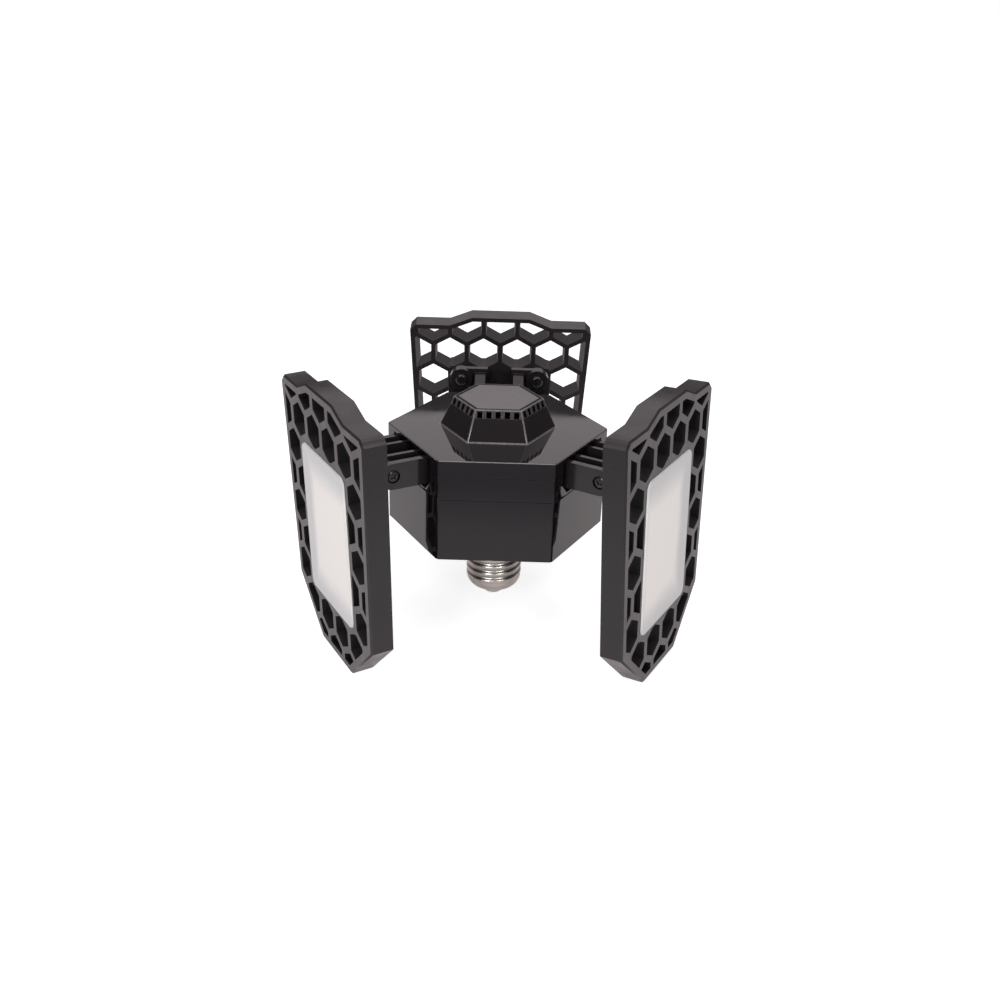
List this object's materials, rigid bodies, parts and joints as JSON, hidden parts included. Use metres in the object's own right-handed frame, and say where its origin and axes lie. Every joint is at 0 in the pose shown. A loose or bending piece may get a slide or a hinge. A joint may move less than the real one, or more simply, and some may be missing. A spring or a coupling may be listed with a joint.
{
  "type": "deformable garage light",
  "caption": "Hexagonal screw-in garage light with honeycomb light panels that swing on friction hinges from a vented driver hub.",
  "frame": {"origin": "centre of the end face of the screw cap's centre contact", "axes": "+Z along the lamp's axis from the cap to the vented dome, +X to the right and -Y to the front as in the picture; one panel faces +Y and the other two face left-front and right-front"},
  "size_m": [0.1919, 0.1795, 0.1308],
  "materials": {
    "nickel": "nickel-plated brass, polished, with fine rolling marks",
    "cap_glass": "grey moulded insulator",
    "lead_wire": "tinned copper wire",
    "hub_gloss": "glossy black moulded polycarbonate",
    "vent_plate": "glossy black moulded plate",
    "black_screw": "black oxide steel",
    "zinc": "zinc-plated steel",
    "circuit_board": "green solder mask",
    "ferrite": "ferrite and varnished winding",
    "capacitor_sleeve": "shrink sleeve",
    "component_black": "moulded epoxy",
    "bare_aluminium": "bare extruded aluminium",
    "socket_white": "moulded nylon",
    "bracket_black": "die-cast aluminium, satin black paint",
    "frame_black": "die-cast aluminium, satin black powder coat",
    "led_board_white": "white solder mask on aluminium",
    "led_yellow": "phosphor-filled silicone",
    "opal": "opal polycarbonate, satin"
  },
  "bodies": {
    "hub": {"screw_shell": "nickel", "cap_neck": "hub_gloss", "cap_insulator": "cap_glass", "centre_contact": "nickel", "contact_lead": "lead_wire", "shell_lead": "lead_wire", "lower_housing": "hub_gloss", "hinge_ring": "hub_gloss", "top_cover": "hub_gloss", "vent_cap": "vent_plate", "housing_screws": "black_screw", "bracket_screws": "black_screw", "pivot_screws": "black_screw", "driver_board": "circuit_board", "board_screws": "zinc", "transformer": "ferrite", "capacitors": "capacitor_sleeve", "choke": "ferrite", "rectifier": "component_black", "heat_sink": "bare_aluminium", "power_transistor": "component_black", "lead_sockets": "socket_white", "hinge_bracket_left": "bracket_black", "hinge_bracket_right": "bracket_black", "hinge_bracket_back": "bracket_black"},
    "left_panel": {"panel_frame_left": "frame_black", "hinge_plate_left": "bracket_black", "plate_screws_left": "black_screw", "led_board_left": "led_board_white", "led_chips_left": "led_yellow", "diffuser_left": "opal"},
    "right_panel": {"panel_frame_right": "frame_black", "hinge_plate_right": "bracket_black", "plate_screws_right": "black_screw", "led_board_right": "led_board_white", "led_chips_right": "led_yellow", "diffuser_right": "opal"},
    "back_panel": {"panel_frame_back": "frame_black", "hinge_plate_back": "bracket_black", "plate_screws_back": "black_screw", "led_board_back": "led_board_white", "led_chips_back": "led_yellow", "diffuser_back": "opal"}
  },
  "joints": [
    {"name": "left_hinge", "type": "hinge", "parent": "hub", "child": "left_panel", "pos_m": [-0.05092, -0.0294, 0.0764], "axis": [-0.5, 0.866, 0], "range_deg": [-3.1, 91.9]},
    {"name": "right_hinge", "type": "hinge", "parent": "hub", "child": "right_panel", "pos_m": [0.05092, -0.0294, 0.0764], "axis": [-0.5, -0.866, 0], "range_deg": [-7.5, 87.5]},
    {"name": "back_hinge", "type": "hinge", "parent": "hub", "child": "back_panel", "pos_m": [0, 0.0588, 0.0764], "axis": [1, 0, 0], "range_deg": [-14.1, 80.9]}
  ]
}
